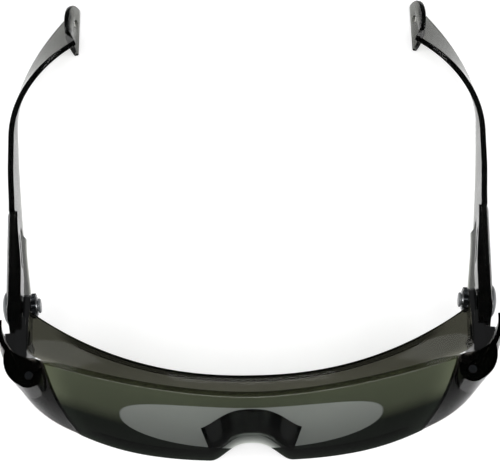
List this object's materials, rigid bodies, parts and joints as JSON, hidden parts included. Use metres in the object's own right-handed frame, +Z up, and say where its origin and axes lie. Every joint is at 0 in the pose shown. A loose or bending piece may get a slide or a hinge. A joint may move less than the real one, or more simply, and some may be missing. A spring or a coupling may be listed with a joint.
{
  "type": "welding goggles",
  "caption": "Over-spectacles shaded goggles with a wraparound lens, brow guard, side shields and folding, tilting, length-adjustable temples",
  "frame": {"origin": "middle of the overall box in X and Y, on the surface that the lens rim and the temple tips stand on", "axes": "+Z up, the lens faces -Y, the temples run back along +Y, +X is the right-hand side in front view, and X = 0 is the mirror plane"},
  "size_m": [0.1694, 0.1772, 0.054],
  "materials": {
    "lens_tint": "clear polycarbonate tinted green-grey, polished",
    "brow_tint": "clear polycarbonate tinted olive-grey, polished",
    "shield_tint": "clear polycarbonate tinted smoke grey, polished",
    "bridge_black": "moulded black plastic, glossy",
    "hinge_black": "moulded black polyamide, glossy",
    "sleeve_black": "dark smoke plastic, glossy",
    "arm_smoke": "clear polyamide tinted smoke grey, polished",
    "rivet_grey": "moulded grey plastic, satin gloss",
    "stop_black": "moulded black plastic",
    "steel": "turned steel, dark",
    "spring_steel": "thin spring steel"
  },
  "bodies": {
    "front": {"lens": "lens_tint", "brow_guard": "brow_tint", "nose_bridge": "bridge_black", "side_shield_left": "shield_tint", "side_shield_right": "shield_tint", "hinge_pin_left": "steel", "hinge_pin_right": "steel"},
    "link_left": {"hinge_link_left": "hinge_black"},
    "sleeve_left": {"temple_sleeve_left": "sleeve_black", "tilt_rivet_left": "rivet_grey", "ratchet_disc_left": "steel", "click_spring_left": "spring_steel"},
    "arm_left": {"temple_arm_left": "arm_smoke", "length_stop_left": "stop_black"},
    "link_right": {"hinge_link_right": "hinge_black"},
    "sleeve_right": {"temple_sleeve_right": "sleeve_black", "tilt_rivet_right": "rivet_grey", "ratchet_disc_right": "steel", "click_spring_right": "spring_steel"},
    "arm_right": {"temple_arm_right": "arm_smoke", "length_stop_right": "stop_black"}
  },
  "joints": [
    {"name": "fold_left", "type": "hinge", "parent": "front", "child": "link_left", "pos_m": [-0.0696, -0.07089, 0.0354], "axis": [0, 0, -1], "range_deg": [0, 62]},
    {"name": "tilt_left", "type": "hinge", "parent": "link_left", "child": "sleeve_left", "pos_m": [-0.0788, -0.04469, 0.0313], "axis": [-0.9972, -0.075, 0], "range_deg": [-8, 8]},
    {"name": "length_left", "type": "slide", "parent": "sleeve_left", "child": "arm_left", "axis": [-0.0732, 0.9735, -0.2167], "range_m": [0, 0.01]},
    {"name": "fold_right", "type": "hinge", "parent": "front", "child": "link_right", "pos_m": [0.0696, -0.07089, 0.0354], "axis": [0, 0, 1], "range_deg": [0, 62]},
    {"name": "tilt_right", "type": "hinge", "parent": "link_right", "child": "sleeve_right", "pos_m": [0.0788, -0.04469, 0.0313], "axis": [0.9972, -0.075, 0], "range_deg": [-8, 8]},
    {"name": "length_right", "type": "slide", "parent": "sleeve_right", "child": "arm_right", "axis": [0.0732, 0.9735, -0.2167], "range_m": [0, 0.01]}
  ]
}
